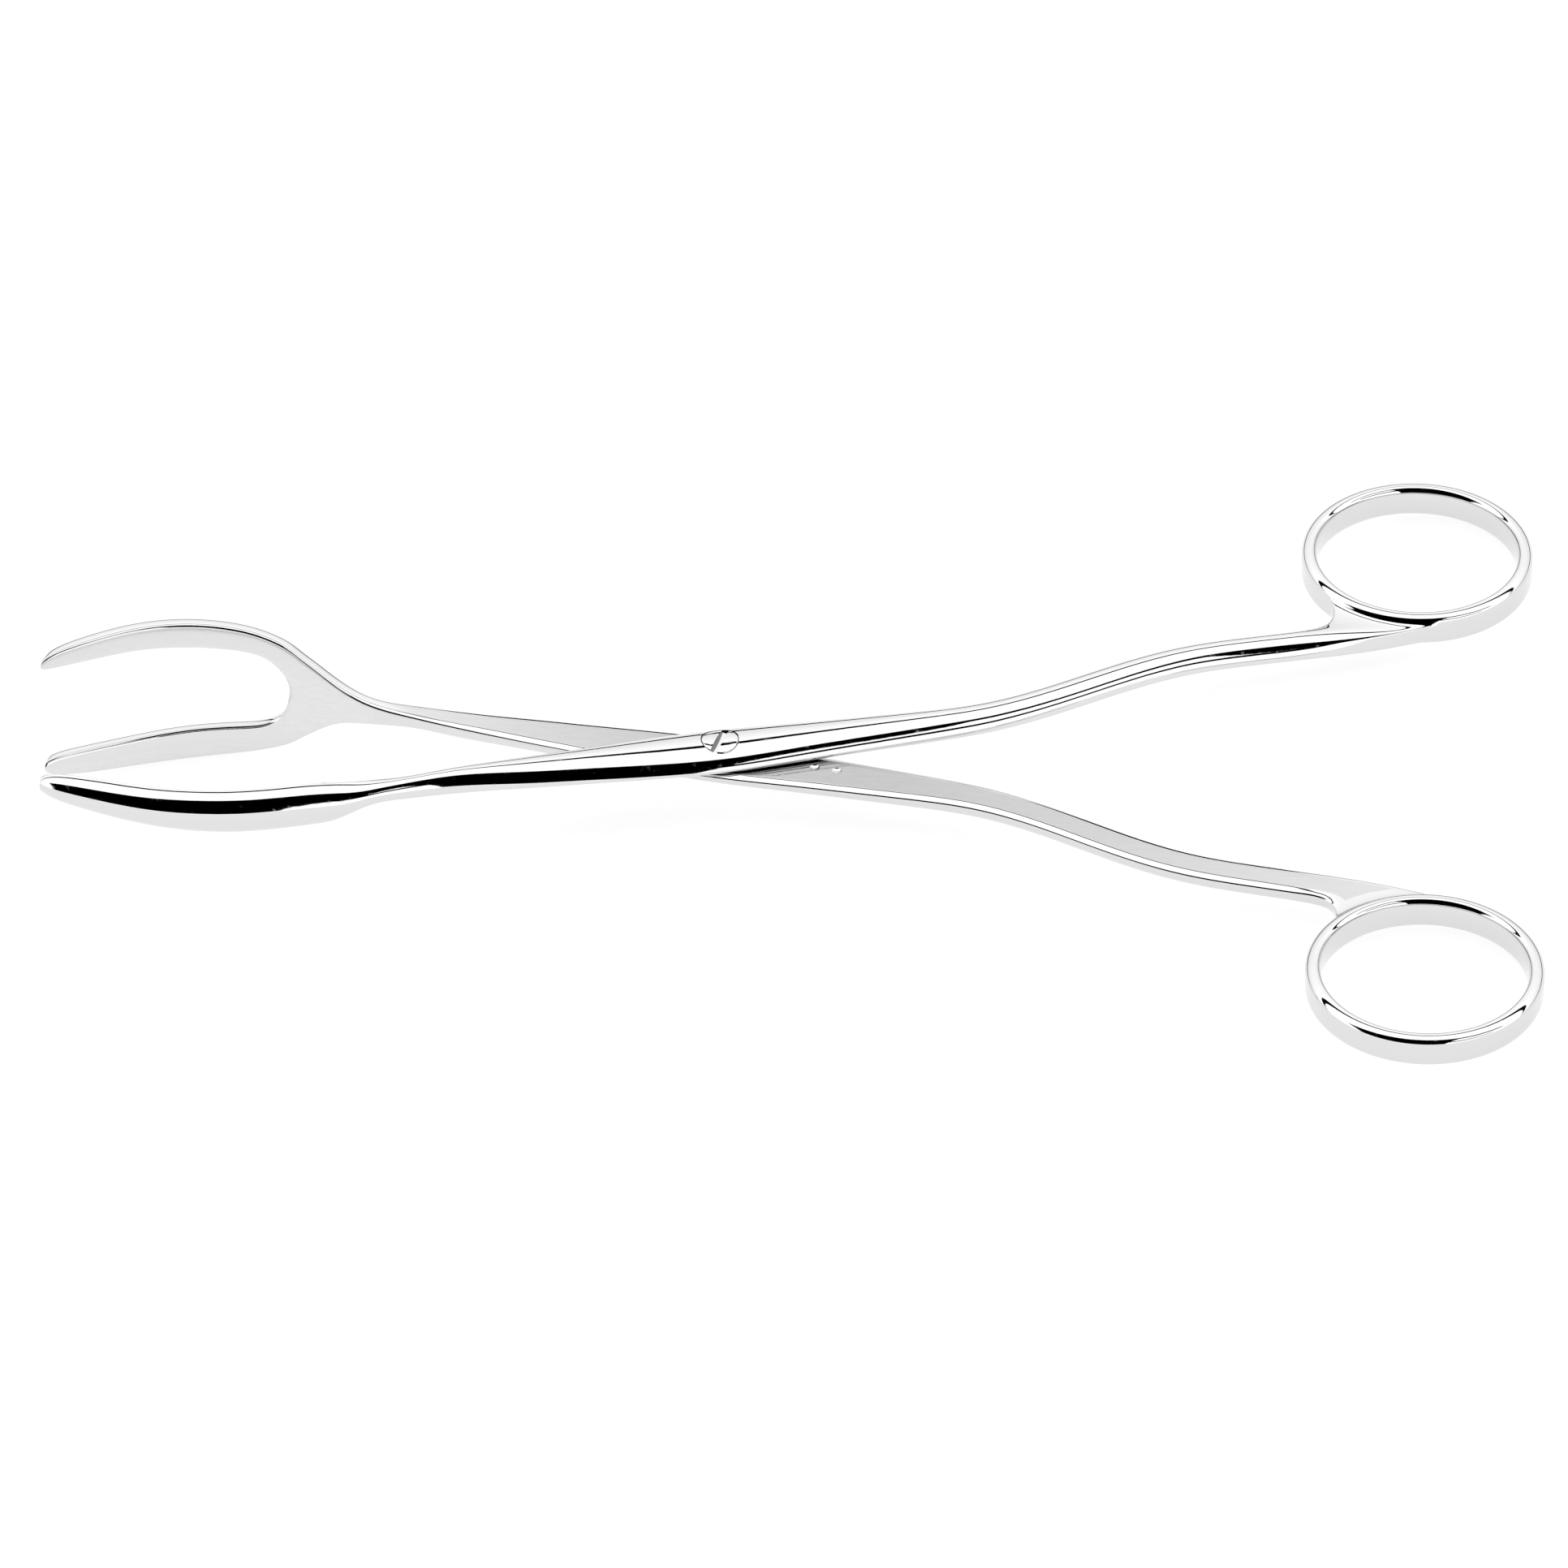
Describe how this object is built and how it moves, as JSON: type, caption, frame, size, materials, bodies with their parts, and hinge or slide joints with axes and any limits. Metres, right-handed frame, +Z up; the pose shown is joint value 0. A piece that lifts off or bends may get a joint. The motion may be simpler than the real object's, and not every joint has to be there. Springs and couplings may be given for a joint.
{
  "type": "sterilizing forceps",
  "caption": "Open surgical sterilizing forceps: two polished steel halves with finger rings crossing at a screw lap joint, a fork jaw facing a single prong.",
  "frame": {"origin": "bottom centre of the bounding box of the open instrument, on the surface it lies on", "axes": "+X towards the finger rings along the length, -X towards the jaws, +Y towards the finger ring of the prong half, +Z up, with the instrument lying on one tine's edge and both rings as it does in the picture"},
  "size_m": [0.1996, 0.1176, 0.0233],
  "materials": {
    "forged_steel": "mirror polished, satin on the mating and gripping faces",
    "screw_steel": "ground and polished"
  },
  "bodies": {
    "fork_half": {"fork_arm": "forged_steel", "pivot_screw": "screw_steel"},
    "prong_half": {"prong_arm": "forged_steel"}
  },
  "joints": [
    {"name": "lap_joint", "type": "hinge", "parent": "fork_half", "child": "prong_half", "pos_m": [-0.00891, 0.00008, 0.00821], "axis": [0.0511, 0.0355, 0.9981], "range_deg": [-21, 135]}
  ]
}
